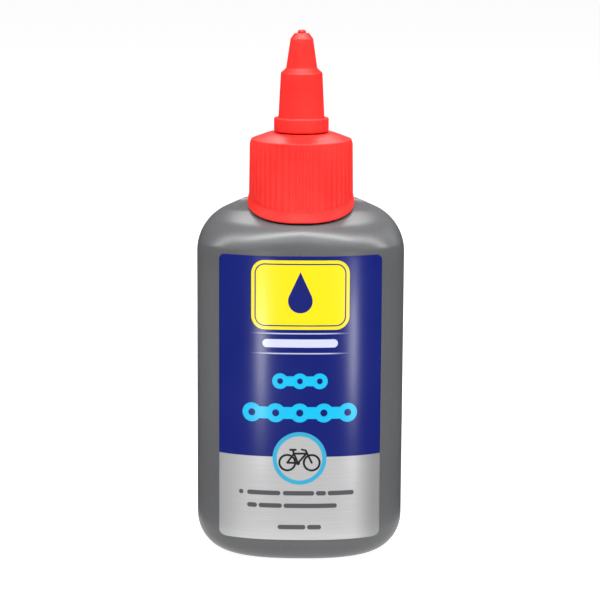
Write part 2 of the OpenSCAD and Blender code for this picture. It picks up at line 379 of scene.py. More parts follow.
class Nodes:
    """Short ways to add shader nodes to one material."""

    def __init__(self, name):
        self.material = bpy.data.materials.new(name)
        self.material.use_nodes = True
        self.tree = self.material.node_tree
        self.tree.nodes.clear()
        out = self.tree.nodes.new("ShaderNodeOutputMaterial")
        self.shader = self.tree.nodes.new("ShaderNodeBsdfPrincipled")
        self.tree.links.new(self.shader.outputs[0], out.inputs["Surface"])

    def put(self, socket, value):
        if isinstance(value, bpy.types.NodeSocket):
            self.tree.links.new(value, socket)
        else:
            socket.default_value = value

    def set(self, name, value):
        self.put(self.shader.inputs[name], value)

    def math(self, operation, a, b=0.0):
        node = self.tree.nodes.new("ShaderNodeMath")
        node.operation = operation
        self.put(node.inputs[0], a)
        self.put(node.inputs[1], b)
        return node.outputs[0]

    def vector(self, operation, a, b=(0, 0, 0), scale=1.0):
        node = self.tree.nodes.new("ShaderNodeVectorMath")
        node.operation = operation
        self.put(node.inputs[0], a)
        self.put(node.inputs[1], b)
        if operation == "SCALE":
            self.put(node.inputs["Scale"], scale)
        if operation in ("LENGTH", "DOT_PRODUCT", "DISTANCE"):
            return node.outputs["Value"]
        return node.outputs["Vector"]

    def split(self, vector):
        node = self.tree.nodes.new("ShaderNodeSeparateXYZ")
        self.put(node.inputs[0], vector)
        return node.outputs

    def coordinates(self):
        return self.tree.nodes.new("ShaderNodeTexCoord").outputs["Object"]

    def uv(self):
        return self.tree.nodes.new("ShaderNodeUVMap").outputs[0]

    def noise(self, where, scale, detail=3.0, roughness=0.5):
        node = self.tree.nodes.new("ShaderNodeTexNoise")
        self.put(node.inputs["Vector"], where)
        node.inputs["Scale"].default_value = scale
        node.inputs["Detail"].default_value = detail
        node.inputs["Roughness"].default_value = roughness
        return node.outputs["Fac"]

    def remap(self, value, low, high, new_low, new_high, smooth=False):
        node = self.tree.nodes.new("ShaderNodeMapRange")
        if smooth:
            node.interpolation_type = "SMOOTHSTEP"
        for name, v in (("Value", value), ("From Min", low), ("From Max", high),
                        ("To Min", new_low), ("To Max", new_high)):
            self.put(node.inputs[name], v)
        return node.outputs[0]

    def mix(self, factor, a, b):
        node = self.tree.nodes.new("ShaderNodeMix")
        node.data_type = "RGBA"
        self.put(node.inputs["Factor"], factor)
        self.put(node.inputs[6], a)
        self.put(node.inputs[7], b)
        return node.outputs[2]

    def bump(self, height, strength, distance):
        node = self.tree.nodes.new("ShaderNodeBump")
        node.inputs["Strength"].default_value = strength
        node.inputs["Distance"].default_value = distance
        self.put(node.inputs["Height"], height)
        self.put(self.shader.inputs["Normal"], node.outputs[0])


# Materials

# A roughness range that crosses about 0.27 shows contour lines once the render is denoised
BOTTLE_ROUGHNESS = (0.295, 0.335)
RED_ROUGHNESS = (0.38, 0.46)
LABEL_ROUGHNESS = (0.22, 0.26)

BOTTLE_DARK = (0.075, 0.076, 0.079, 1)
BOTTLE_LIGHT = (0.085, 0.086, 0.089, 1)
BOTTLE_SPECK = (0.16, 0.161, 0.165, 1)
RED_DARK = (0.70, 0.014, 0.010)
RED_LIGHT = (0.77, 0.020, 0.015)


def bottle_material():
    n = Nodes("bottle_plastic")
    where = n.coordinates()
    cloud = n.noise(where, 60, 1, 0.3)
    grain = n.noise(where, 2600, 2)
    base = n.mix(n.remap(cloud, 0.2, 0.8, 0.0, 1.0, True), BOTTLE_DARK, BOTTLE_LIGHT)
    n.set("Base Color", n.mix(n.remap(grain, 0.55, 0.75, 0.0, 0.25), base, BOTTLE_SPECK))
    n.set("Roughness", n.remap(cloud, 0.2, 0.8, *BOTTLE_ROUGHNESS, True))
    n.set("Specular IOR Level", 0.5)
    n.bump(grain, 0.12, 0.00003)
    return n.material


def red_material(name, shade):
    n = Nodes(name)
    where = n.coordinates()
    cloud = n.noise(where, 110, 3)
    grain = n.noise(where, 3200, 2)
    dark, light = [(*[v * shade for v in colour], 1) for colour in (RED_DARK, RED_LIGHT)]
    n.set("Base Color", n.mix(n.remap(cloud, 0.3, 0.7, 0.0, 1.0), dark, light))
    n.set("Roughness", n.remap(cloud, 0.3, 0.7, *RED_ROUGHNESS))
    n.set("Specular IOR Level", 0.38)
    n.set("Subsurface Weight", 0.08)
    n.set("Subsurface Radius", (0.004, 0.0006, 0.0003))
    n.set("Subsurface Scale", 0.4)
    n.bump(grain, 0.10, 0.00005)
    return n.material


# Label print, in millimetres: u runs along the film from its middle, v is the height

SILVER_DARK = (0.41, 0.411, 0.413, 1)
SILVER_LIGHT = (0.48, 0.481, 0.483, 1)
SILVER_METAL = 0.30
FIELD_DARK = (0.0030, 0.0076, 0.112, 1)
FIELD_LIGHT = (0.0042, 0.0100, 0.126, 1)
LABEL_BLUE = (0.0050, 0.0098, 0.120, 1)
PRINT_YELLOW = (0.66, 0.52, 0.001, 1)
PRINT_CYAN = (0.001, 0.35, 0.58, 1)
PRINT_RING = (0.025, 0.27, 0.43, 1)
PRINT_BLACK = (0.012, 0.012, 0.014, 1)
PRINT_GREY = (0.060, 0.062, 0.068, 1)
PRINT_WHITE = (0.44, 0.46, 0.60, 1)

INK_EDGE = 0.05
FIELD_EDGE = 28.3
PLATE_MIDDLE = (0, 69.9)
PLATE_HALF = (12.4, 8.8)
PLATE_CORNER = 3.4
PLATE_LINE_INSET = 1.0
PLATE_HALF_LINE = 0.17
DROP_MIDDLE = (0, 68.4)
DROP_RADIUS = 3.1
DROP_HEIGHT = 7.4
RULE_HEIGHTS = (60.1, 55.0)
RULE_HALF_LINE = 0.16
BAR_MIDDLE = (0, 57.6)
BAR_HALF = (9.5, 1.05)
BADGE = (0.0, 27.9)
BADGE_RADIUS = 6.3
BADGE_HALF_LINE = 0.55
WORD_HALF_LINE = 0.6
WORD_DOT = (-15.0, 18.8)

# Soft steps across the film: from u, to u, and the factor at each
RULE_FADE = (6.0, 13.2, 0.8, 0.0)
# Painted shade on the silver: darker toward both sides of the film, more on the right
SILVER_PAINTED_SHADE_LEFT = (-21.5, -13.0, 0.76, 1.0)
SILVER_PAINTED_SHADE_RIGHT = (13.0, 20.5, 1.0, 0.58)

# Chain rows: middle, pitch and number of links
CHAINS = (
    ((0, 47.9), 5.0, 2),
    ((0, 39.7), 6.1, 4),
)

# Rows of bars: height, then start and end of each bar
WORD_ROWS = (
    (18.8, ((-12.8, -5.4), (-3.6, 3.2), (4.8, 6.2), (7.8, 13.4))),
    (15.5, ((-12.8, -11.4), (-9.8, -5.0), (-3.4, 9.0))),
    (9.9, ((-4.9, 1.0), (2.6, 5.0))),
)


# Fields are distances to a shape's edge, negative inside it

def circle_field(n, p, centre, radius):
    return n.math("SUBTRACT", n.vector("DISTANCE", p, (centre[0], centre[1], 0)), radius)


def line_field(n, field, half_line):
    """A line of this half width along the edge of another field."""
    return n.math("SUBTRACT", n.math("ABSOLUTE", field), half_line)


def ring_field(n, p, centre, radius, half_line):
    return line_field(n, circle_field(n, p, centre, radius), half_line)


def box_field(n, p, centre, half, corner):
    away = n.vector("ABSOLUTE", n.vector("SUBTRACT", p, (centre[0], centre[1], 0)))
    over = n.vector("SUBTRACT", away, (half[0] - corner, half[1] - corner, 1))
    return n.math("SUBTRACT", n.vector("LENGTH", n.vector("MAXIMUM", over, (0, 0, 0))), corner)


def bar_field(n, p, start, end, half_line):
    along = (end[0] - start[0], end[1] - start[1], 0)
    square = along[0] ** 2 + along[1] ** 2
    offset = n.vector("SUBTRACT", p, (start[0], start[1], 0))
    share = n.vector("DOT_PRODUCT", offset, (along[0] / square, along[1] / square, 0))
    share = n.math("MINIMUM", n.math("MAXIMUM", share, 0.0), 1.0)
    away = n.vector("SUBTRACT", offset, n.vector("SCALE", along, scale=share))
    return n.math("SUBTRACT", n.vector("LENGTH", away), half_line)


def drop_field(n, p, centre, radius, height):
    """A plain drop: a disc below, drawn out to a point at height above its middle."""
    sine = radius / height
    cosine = math.sqrt(1 - sine ** 2)
    offset = n.vector("SUBTRACT", p, (centre[0], centre[1], 0))
    side = n.vector("MULTIPLY", n.vector("ABSOLUTE", offset), (1, 0, 0))
    over = n.vector("DOT_PRODUCT", offset, (0, 1, 0))
    slant = n.vector("DOT_PRODUCT", n.vector("SUBTRACT", side, (0, height, 0)), (cosine, sine, 0))
    slant = n.math("ADD", slant, n.math("MULTIPLY", over, sine))
    slant = n.math("MAXIMUM", slant, n.math("SUBTRACT", radius * sine, over))
    return n.math("MINIMUM", circle_field(n, p, centre, radius), slant)


def union(n, fields):
    """One field for several shapes together."""
    out = fields[0]
    for field in fields[1:]:
        out = n.math("MINIMUM", out, field)
    return out


def ink(n, field):
    """1 inside the field and 0 outside it, with a soft edge."""
    return n.remap(field, -INK_EDGE, INK_EDGE, 1.0, 0.0)


def bicycle_fields(n, p):
    """A plain bicycle sign: two wheels, a diamond frame, a saddle and a bar."""
    cx, cy = BADGE
    rear = (cx - 3.1, cy - 1.1)
    front = (cx + 3.1, cy - 1.1)
    crank = (cx - 0.4, cy - 1.2)
    post = (cx - 1.4, cy + 1.25)
    head = (cx + 1.75, cy + 1.3)
    stem = (cx + 1.5, cy + 2.15)
    saddle_rear = (post[0] - 0.95, post[1] + 1.0)
    saddle_front = (post[0] + 0.4, post[1] + 1.0)
    frame_half_line = 0.27
    wheel_half_line = 0.28
    tubes = [(rear, crank), (rear, post), (crank, post), (crank, head), (post, head), (stem, front),
             (post, (post[0] - 0.3, post[1] + 0.9))]
    fields = [bar_field(n, p, start, end, frame_half_line) for start, end in tubes]
    fields.append(bar_field(n, p, saddle_rear, saddle_front, 0.28))
    fields.append(bar_field(n, p, (stem[0] - 0.1, stem[1]), (stem[0] - 0.95, stem[1] + 0.2), 0.24))
    fields += [ring_field(n, p, wheel, 2.0, wheel_half_line) for wheel in (rear, front)]
    fields.append(circle_field(n, p, crank, 0.55))
    return fields


def chain_field(n, p, centre, pitch, links):
    """A row of plain chain plates: waisted outlines with pin holes."""
    first = centre[0] - pitch * links / 2
    pins = [(first + pitch * k, centre[1]) for k in range(links + 1)]
    solid = [circle_field(n, p, pin, pitch * 0.40) for pin in pins]
    solid += [bar_field(n, p, start, end, pitch * 0.25) for start, end in zip(pins, pins[1:])]
    holes = [circle_field(n, p, pin, pitch * 0.15) for pin in pins]
    return n.math("MAXIMUM", union(n, solid), n.math("MULTIPLY", union(n, holes), -1.0))


def word_field(n, p):
    """Rows of plain bars, with a dot before the first."""
    fields = [bar_field(n, p, (start, height), (end, height), WORD_HALF_LINE)
              for height, words in WORD_ROWS
              for start, end in words]
    fields.append(circle_field(n, p, WORD_DOT, WORD_HALF_LINE))
    return union(n, fields)


def silver_colour(n, p, u):
    """Brushed silver: noise drawn out along u, with painted shade that darkens it toward both sides of
    the film.
    """
    streak = n.noise(n.vector("MULTIPLY", p, (0.05, 6.0, 0)), 1.0, 4, 0.7)
    silver = n.mix(n.remap(streak, 0.3, 0.7, 0.0, 1.0), SILVER_DARK, SILVER_LIGHT)
    # Painted shade: the silver darkens toward the film's sides, more on the right
    painted_shade_right = n.remap(u, *SILVER_PAINTED_SHADE_RIGHT, True)
    painted_shade_left = n.remap(u, *SILVER_PAINTED_SHADE_LEFT, True)
    return n.vector("SCALE", silver, scale=n.math("MULTIPLY", painted_shade_right, painted_shade_left))


def label_material():
    n = Nodes("label_film")
    p = n.vector("MULTIPLY", n.uv(), (UV_SPAN, UV_SPAN, 0))
    u, v = n.split(p)[:2]
    where = n.coordinates()
    fine = n.noise(where, 900, 2)
    soft = n.noise(where, 45, 2)
    silver = silver_colour(n, p, u)
    blue = n.mix(n.remap(soft, 0.3, 0.7, 0.0, 1.0), FIELD_DARK, FIELD_LIGHT)
    upper = n.remap(v, FIELD_EDGE - INK_EDGE, FIELD_EDGE + INK_EDGE, 0.0, 1.0)
    colour = n.mix(upper, silver, blue)
    metal = n.math("MULTIPLY", n.math("SUBTRACT", 1.0, upper), SILVER_METAL)

    def print_over(colour, metal, field, tint):
        mask = ink(n, field)
        return n.mix(mask, colour, tint), n.math("MULTIPLY", metal, n.math("SUBTRACT", 1.0, mask))

    # Two fine lines that fade to the sides
    fade = n.remap(n.math("ABSOLUTE", u), *RULE_FADE, True)
    for height in RULE_HEIGHTS:
        rule = ink(n, line_field(n, n.math("SUBTRACT", v, height), RULE_HALF_LINE))
        colour = n.mix(n.math("MULTIPLY", rule, fade), colour, PRINT_WHITE)

    # Plain shapes over the blue field
    plate = box_field(n, p, PLATE_MIDDLE, PLATE_HALF, PLATE_CORNER)
    plate_line = line_field(n, n.math("ADD", plate, PLATE_LINE_INSET), PLATE_HALF_LINE)
    prints = [(plate, PRINT_YELLOW),
              (plate_line, LABEL_BLUE),
              (drop_field(n, p, DROP_MIDDLE, DROP_RADIUS, DROP_HEIGHT), LABEL_BLUE),
              (box_field(n, p, BAR_MIDDLE, BAR_HALF, BAR_HALF[1]), PRINT_WHITE)]
    prints += [(chain_field(n, p, *chain), PRINT_CYAN) for chain in CHAINS]
    for field, tint in prints:
        colour, metal = print_over(colour, metal, field, tint)

    # The badge: a silver disc with a ring and the bicycle sign, and the bars below it
    disc = ink(n, circle_field(n, p, BADGE, BADGE_RADIUS))
    colour = n.mix(disc, colour, silver)
    metal = n.math("MAXIMUM", metal, n.math("MULTIPLY", disc, SILVER_METAL))
    prints = [(ring_field(n, p, BADGE, BADGE_RADIUS, BADGE_HALF_LINE), PRINT_RING),
              (union(n, bicycle_fields(n, p)), PRINT_BLACK),
              (word_field(n, p), PRINT_GREY)]
    for field, tint in prints:
        colour, metal = print_over(colour, metal, field, tint)

    n.set("Base Color", colour)
    n.set("Metallic", metal)
    n.set("Roughness", n.remap(soft, 0.3, 0.7, *LABEL_ROUGHNESS))
    n.set("Specular IOR Level", 0.36)
    n.bump(n.math("ADD", n.math("MULTIPLY", fine, 0.3), n.math("MULTIPLY", soft, 0.7)), 0.05, 0.00005)
    return n.material


# Bottle

def bottle_turns():
    """Turns of the columns, with close ones at the mould's parting line on both sides."""
    turns = turns_round(BOTTLE_TURNS)
    for side in (0, math.pi):
        for off in PARTING_COLUMNS:
            turns += [side + off, side - off + (2 * math.pi if side == 0 else 0)]
    return sorted(turns)


def push_up_height(x, y):
    """Height of the push-up under the base, and 0 on the standing ring."""
    rise = PUSH_UP_SPHERE ** 2 - x ** 2 - (y / PUSH_UP_SQUASH) ** 2
    return max(0.0, PUSH_UP_DEPTH - PUSH_UP_SPHERE + math.sqrt(max(0.0, rise)))


def base_shares(turn):
    """Shares of the way out to the foot's outline, with a row where the push-up meets the ring."""
    x, y = oval_point(0.0, turn)
    edge = PUSH_UP_RADIUS / math.hypot(x, y / PUSH_UP_SQUASH)
    shares = [edge * k / PUSH_UP_ROWS for k in range(1, PUSH_UP_ROWS + 1)]
    return shares + [edge + (1 - edge) * k / FOOT_ROWS for k in range(1, FOOT_ROWS)]


def parting_lift(turn):
    """How far the parting line stands out along x at this column."""
    off = min(abs(turn), abs(turn - math.pi), abs(turn - 2 * math.pi))
    return math.copysign(PARTING_RELIEF, math.cos(turn)) if off < PARTING_TURN else 0.0


def loft_levels(inset):
    """Heights of the sections up to the top of the wall, that top, and the ridge."""
    ridge = SHOULDER_HEIGHT - inset
    base = BASE_CORNER_SIDE - inset
    wall_top = corner_middle(HALF_WIDTH - inset, SHOULDER_CORNER_SIDE - inset, SLOPE_SIDE,
                             RIDGE_HALF_LENGTH - inset / 2, ridge)
    levels = [inset + base * (1 - math.cos(math.pi / 2 * i / BASE_ARC_ROWS))
              for i in range(BASE_ARC_ROWS + 1)]
    levels += [inset + base + (wall_top - inset - base) * i / WALL_ROWS for i in range(1, WALL_ROWS + 1)]
    return levels, wall_top, ridge


def shoulder_path(turn, inset, stop_radius, wall_top, ridge, rows):
    """Points of one column from the top of the wall to the neck, evenly spaced."""
    path = []
    for k in range(SHOULDER_STEPS + 1):
        z = wall_top + (ridge - wall_top) * math.sin(math.pi / 2 * k / SHOULDER_STEPS)
        x, y = oval_point(min(z, ridge), turn, inset)
        if math.hypot(x, y) < stop_radius:
            break
        path.append(Vector((x, y, z)))
    last = path[-1]
    flat = Vector((last.x, last.y, 0))
    direction = flat.normalized() * stop_radius
    path.append(Vector((direction.x, direction.y, last.z)))
    lengths = [0.0]
    for p, q in zip(path, path[1:]):
        lengths.append(lengths[-1] + (q - p).length)
    out = []
    j = 0
    for r in range(1, rows + 1):
        want = lengths[-1] * r / rows
        while j < len(lengths) - 2 and lengths[j + 1] < want:
            j += 1
        span = lengths[j + 1] - lengths[j]
        share = 0 if span < 1e-9 else (want - lengths[j]) / span
        out.append(path[j].lerp(path[j + 1], min(1.0, share)))
    return out


def neck_profile():
    """The neck (radius, z): up its outside with the bead, over the mouth and down the bore."""
    bead_radius = NECK_RADIUS + NECK_BEAD
    return [
        (NECK_RADIUS, 93.0),
        (NECK_RADIUS, 96.0),
        (NECK_RADIUS, NECK_BEAD_BASE),
        (bead_radius, NECK_BEAD_BASE + NECK_BEAD),
        (bead_radius, NECK_BEAD_BASE + 2 * NECK_BEAD),
        (NECK_RADIUS, NECK_BEAD_BASE + 4 * NECK_BEAD),
        (NECK_RADIUS, 103.0),
        (NECK_RADIUS, NECK_TOP - 0.4),
        (NECK_RADIUS - 0.12, NECK_TOP - 0.12),
        (NECK_RADIUS - 0.4, NECK_TOP),
        (NECK_BORE + 0.3, NECK_TOP),
        (NECK_BORE + 0.08, NECK_TOP - 0.08),
        (NECK_BORE, NECK_TOP - 0.3),
        (NECK_BORE, 100.0),
        (NECK_BORE, 95.0),
    ]


def bottle_column(turn, outer_loft, inner_loft):
    """One column: out under the base, up the outside, over the neck, down the inside and in."""
    levels, wall_top, ridge = outer_loft
    lift = parting_lift(turn)
    column = []
    for share in base_shares(turn):
        x, y = oval_point(0.0, turn, 0.0, share)
        column.append(Vector((x, y, push_up_height(x, y))))
    for z in levels:
        x, y = oval_point(z, turn)
        column.append(Vector((x + lift, y, z)))
    for p in shoulder_path(turn, 0.0, NECK_RADIUS + NECK_CLEARANCE, wall_top, ridge, OUTER_SHOULDER_ROWS):
        # The parting line ends shortly before the neck
        clear_of_neck = p.x ** 2 > NECK_RADIUS ** 2 * PARTING_END_SQUARE
        column.append(Vector((p.x + lift if clear_of_neck else p.x, p.y, p.z)))
    around = math.atan2(column[-1].y, column[-1].x)
    c, s = math.cos(around), math.sin(around)
    column += [Vector((r * c, r * s, z)) for r, z in neck_profile()]
    levels, wall_top, ridge = inner_loft
    column += reversed(shoulder_path(turn, WALL, NECK_BORE, wall_top, ridge, INNER_SHOULDER_ROWS))
    column += [Vector((*oval_point(z, turn, WALL), z)) for z in reversed(levels)]
    for k in range(INNER_BASE_ROWS - 1, 0, -1):
        x, y = oval_point(WALL, turn, WALL, k / INNER_BASE_ROWS)
        column.append(Vector((x, y, WALL + push_up_height(x, y))))
    return column


def bottle_piece(material):
    outer_loft = loft_levels(0.0)
    inner_loft = loft_levels(WALL)
    columns = [bottle_column(turn, outer_loft, inner_loft) for turn in bottle_turns()]
    rings = len(columns[0])
    size = len(columns)
    points = ring_points(columns)
    faces = rings_to_faces(rings, size)
    middle_out = len(points)
    middle_in = middle_out + 1
    points += [(0, 0, PUSH_UP_DEPTH), (0, 0, PUSH_UP_DEPTH + WALL)]
    last = (rings - 1) * size
    for i in range(size):
        j = (i + 1) % size
        faces.append((middle_out, j, i))
        faces.append((middle_in, last + i, last + j))
    new_object("bottle_shell", points, faces, material, "bottle_body", ["bottle"])


def pinch_off_seam(material):
    """The welded seam that the mould leaves across the push-up."""
    points = []
    for k in range(SEAM_ROWS + 1):
        x = SEAM_HALF_LENGTH * (2 * k / SEAM_ROWS - 1)
        fade = max(math.sqrt(max(0.0, 1 - (x / SEAM_HALF_LENGTH) ** 4)), SEAM_LEAST_SHARE)
        middle = push_up_height(x, 0) + SEAM_LIFT
        for turn in turns_round(SEAM_TURNS):
            points.append((x, SEAM_HALF_WIDTH * math.cos(turn) * fade,
                           middle + SEAM_HALF_HEIGHT * math.sin(turn) * fade))
    faces = rings_to_faces(SEAM_ROWS + 1, SEAM_TURNS)
    faces.append(tuple(range(SEAM_TURNS)))
    faces.append(tuple(SEAM_ROWS * SEAM_TURNS + i for i in range(SEAM_TURNS)))
    new_object("base_seam", points, faces, material, "bottle_body")


# Label

def label_surface(x, z, lift):
    """Point on the front of the bottle at x and z, moved out by lift."""
    a, b = half_sizes(z)
    a, b = a + lift, b + lift
    y = -b * max(0.0, 1 - abs(x / a) ** PLAN_EXPONENT) ** (1 / PLAN_EXPONENT)
    return (x, y, z)


def station_lengths(half):
    """Lengths along the straight wall's plan from its middle to evenly spaced stations."""
    points = [label_surface(half * k / LABEL_STATIONS, LABEL_PLAN_HEIGHT, 0)
              for k in range(LABEL_STATIONS + 1)]
    lengths = [0.0]
    for p, q in zip(points, points[1:]):
        lengths.append(lengths[-1] + math.hypot(q[0] - p[0], q[1] - p[1]))
    return lengths


def label_heights(low, high):
    """Heights of the film's rows, with close ones at its rounded corners."""
    heights = [low + (high - low) * (r / LABEL_ROWS) for r in range(LABEL_ROWS + 1)]
    for k in range(1, LABEL_CORNER_ROWS):
        off = LABEL_CORNER * (1 - math.cos(math.pi / 2 * k / LABEL_CORNER_ROWS))
        heights += [low + off, high - off]
    return sorted(set(round(h, 4) for h in heights))


def corner_inset(gap):
    """How far the film's rounded corners bring its side in, at this distance from its end."""
    if gap >= LABEL_CORNER:
        return 0.0
    return LABEL_CORNER - math.sqrt(max(0.0, LABEL_CORNER ** 2 - (LABEL_CORNER - gap) ** 2))


def film_faces(rows, count):
    """Faces of the front, the back and the rim between them."""
    total = rows * count
    faces = []
    for r in range(rows - 1):
        for i in range(count - 1):
            a = r * count + i
            faces.append((a, a + 1, a + count + 1, a + count))
            faces.append((total + a, total + a + count, total + a + count + 1, total + a + 1))
    rim = list(range(count))
    rim += [r * count + count - 1 for r in range(1, rows)]
    rim += [total - 1 - i for i in range(1, count)]
    rim += [r * count for r in range(rows - 2, 0, -1)]
    for i, a in enumerate(rim):
        b = rim[(i + 1) % len(rim)]
        faces.append((b, a, total + a, total + b))
    return faces


def label_piece(material):
    half = label_high[0]
    low, high = label_low[2], label_high[2]
    lengths = station_lengths(half)

    def arc_length(x):
        place = abs(x) / half * LABEL_STATIONS
        k = min(LABEL_STATIONS - 1, int(place))
        return math.copysign(lengths[k] + (lengths[k + 1] - lengths[k]) * (place - k), x)

    heights = label_heights(low, high)
    front, back, uvs = [], [], []
    for z in heights:
        gap = min(z - low, high - z)
        reach = half - corner_inset(gap)
        for i in range(LABEL_COLUMNS + 1):
            x = reach * (2 * i / LABEL_COLUMNS - 1)
            edge = i in (0, LABEL_COLUMNS) or gap == 0
            front.append(label_surface(x, z, LABEL_EDGE if edge else LABEL_FRONT))
            back.append(label_surface(x, z, LABEL_BACK))
            uvs.append((arc_length(x) / UV_SPAN, z / UV_SPAN))
    mesh = mesh_mm("label_wrap", front + back, film_faces(len(heights), LABEL_COLUMNS + 1))
    layer = mesh.uv_layers.new(name="print")
    for loop in mesh.loops:
        layer.data[loop.index].uv = uvs[loop.vertex_index % len(uvs)]
    shade_smooth(mesh)
    obj = add_object("label_wrap", mesh, material)
    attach(obj, "bottle_body")
    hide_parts("label")


# Closure

def gable_height(y, top, slope, crown):
    """Height at y of a gable with a rounded crown."""
    edge = crown * math.sin(slope)
    if abs(y) < edge:
        return top - crown + math.sqrt(crown ** 2 - y ** 2)
    return top - crown * (1 - math.cos(slope)) - (abs(y) - edge) * math.tan(slope)


def rib_wave(turn):
    """Relief of the grip ribs round the skirt, 0 in the grooves and 1 on the ribs."""
    phase = (turn * RIB_COUNT / (2 * math.pi)) % 1.0
    off = abs(phase - 0.5) * 2 * RIB_HALF_PITCH
    bump = RIB_ROUND ** 2 - off ** 2 * RIB_STRETCH ** 2
    if bump <= RIB_SUNK ** 2:
        return 0.0
    return max(0.0, (math.sqrt(bump) - RIB_SUNK) / RIB_RELIEF)


def smooth(t):
    """Soft step from 0 to 1 while t goes from 0 to 1."""
    t = min(1.0, max(0.0, t))
    return t * t * (3 - 2 * t)


def skirt_radius(z):
    """Radius of the skirt between the ribs at height z."""
    return SKIRT_RADIUS + SKIRT_FLARE * (CLOSURE_TOP - z)


def rim_radius(z):
    """Radius of the rim whose lower edge is at height z."""
    return RIM_TOP_RADIUS + (RIM_RADIUS - RIM_TOP_RADIUS) * smooth((RIM_TOP - z) / RIM_FLARE_HEIGHT)


def inner_profile():
    """The rest of the closure (radius, z): deck, chimney, plug seal and the skirt's bore."""
    flat = CLOSURE_TOP + DECK_RISE
    deck_slope = [(12.3, 0.114), (11.4, 0.450), (10.5, 0.785), (9.6, 1.120), (8.9, 1.380), (8.4, 1.545)]
    deck = [(radius, CLOSURE_TOP + rise) for radius, rise in deck_slope]
    deck += [(8.0, flat - 0.01), (7.5, flat), (6.6, flat), (4.3, flat)]
    chimney_outside = [
        (CHIMNEY_RADIUS, flat + 0.2),
        (CHIMNEY_RADIUS, CHIMNEY_MIDDLE),
        (CHIMNEY_RADIUS, 117.3),
        (4.3, 117.42),
        (4.32, 117.6),
        (CHIMNEY_RADIUS, 118.2),
        (CHIMNEY_RADIUS, 121.2),
        (4.0, 121.42),
        (3.8, CHIMNEY_TOP),
    ]
    chimney_inside = [
        (3.3, CHIMNEY_TOP),
        (CHIMNEY_BORE, 121.3),
        (CHIMNEY_BORE, CHIMNEY_MIDDLE),
        (CHIMNEY_BORE, DECK_UNDERSIDE),
    ]
    plug = [
        (PLUG_BORE, DECK_UNDERSIDE),
        (PLUG_BORE, PLUG_BASE),
        (8.4, PLUG_BASE),
        (PLUG_RADIUS, 101.3),
        (PLUG_RADIUS, DECK_UNDERSIDE),
    ]
    bore = [
        (SKIRT_BORE, DECK_UNDERSIDE),
        (SKIRT_BORE, 98.5),
        (SKIRT_BORE - SNAP_BEAD, 98.4),
        (SKIRT_BORE - SNAP_BEAD, 97.9),
        (SKIRT_BORE, 96.9),
    ]
    return deck + chimney_outside + chimney_inside + plug + bore


def outer_profile(turn):
    """The skirt's outside (radius, z) at this turn: under the rim, up its flare and up the ribs."""
    c, s = math.cos(turn), math.sin(turn)

    def under(radius):
        return surface_height(radius * c, radius * s, -SHOULDER_GAP)

    edge = rim_radius(under(RIM_TOP_RADIUS))
    low = under(edge)
    band = gable_height(RIM_BAND_RADIUS * s, SHOULDER_HEIGHT + RIM_RISE, RIM_SLOPE, RIM_CROWN)
    band = max(band, low + RIM_BAND_LEAST)
    profile = [(SKIRT_BORE, under(SKIRT_BORE) + 0.2)]
    for radius in (SKIRT_BORE + 0.15, 11.7, 12.4, 13.0, edge - 0.30):
        profile.append((radius, under(radius) + 0.02))
    profile += [(edge - 0.13, low + 0.06), (edge - 0.03, low + 0.17), (edge, low + 0.30),
                (edge - 0.01, low + RIM_EDGE_HEIGHT)]
    # Flare of the rim, up to the foot of the ribs
    start = low + RIM_EDGE_HEIGHT
    for k in range(1, FLARE_ROWS + 1):
        t = k / FLARE_ROWS
        z = start + (band - start) * t
        flare = (edge - 0.01 - skirt_radius(z)) * (1 - t) ** 1.35
        profile.append((skirt_radius(z) + flare + 0.20 * t * (1 - t), z))
    # Ribs
    wave = rib_wave(turn)
    foot = band + 0.05
    head = CLOSURE_TOP - 0.35
    for k in range(RIB_ROWS + 1):
        t = k / RIB_ROWS
        z = foot + (head - foot) * t
        fade = smooth((z - foot) / 0.45) * smooth((head - z) / 0.7)
        profile.append((skirt_radius(z) + RIB_RELIEF * wave * fade, z))
    # Round of the upper edge
    for degrees in (15, 35, 55, 75, 90):
        bend = math.radians(degrees)
        profile.append((skirt_radius(CLOSURE_TOP) - SKIRT_ROUND + SKIRT_ROUND * math.cos(bend),
                        CLOSURE_TOP - SKIRT_ROUND + SKIRT_ROUND * math.sin(bend)))
    return profile


def closure_shell():
    """Points and faces of the skirt, the deck, the plug seal and the chimney in one skin."""
    inner = inner_profile()
    columns = []
    for turn in turns_round(RIB_COUNT * RIB_TURNS):
        c, s = math.cos(turn), math.sin(turn)
        columns.append([(r * c, r * s, z) for r, z in outer_profile(turn) + inner])
    return ring_points(columns), rings_to_faces(len(columns[0]), len(columns), closed_loop=True)


def pin_parts():
    """The pin and the three walls that carry it in the chimney."""
    axis = 0.001
    outline = rounded_outline([
        (axis, PIN_BASE, 0),
        (PIN_RADIUS, PIN_BASE, 0.2),
        (PIN_RADIUS, PIN_ROOT_TOP, 0.5),
        (PIN_HEAD_RADIUS, PIN_NECK_HEIGHT, 0.5),
        (PIN_HEAD_RADIUS, PIN_TOP, 0.9),
        (axis, PIN_TOP, 0),
    ])
    parts = [revolve(outline, PIN_TURNS)]
    near, far = PIN_WALL_REACH
    plan = [(near, -PIN_WALL_HALF), (far, -PIN_WALL_HALF), (far, PIN_WALL_HALF), (near, PIN_WALL_HALF)]
    faces = [(0, 1, 2, 3), (7, 6, 5, 4), (0, 4, 5, 1), (1, 5, 6, 2), (2, 6, 7, 3), (3, 7, 4, 0)]
    for k in range(3):
        turn = math.radians(120 * k + 90)
        c, s = math.cos(turn), math.sin(turn)
        corners = [(r * c - w * s, r * s + w * c, z) for z in (PIN_BASE, PIN_WALL_TOP) for r, w in plan]
        parts.append((corners, faces))
    return parts


def closure_piece(material):
    points, faces = join([closure_shell()] + pin_parts())
    new_object("closure_moulding", points, faces, material, "bottle_body", ["closure"])


# Tip

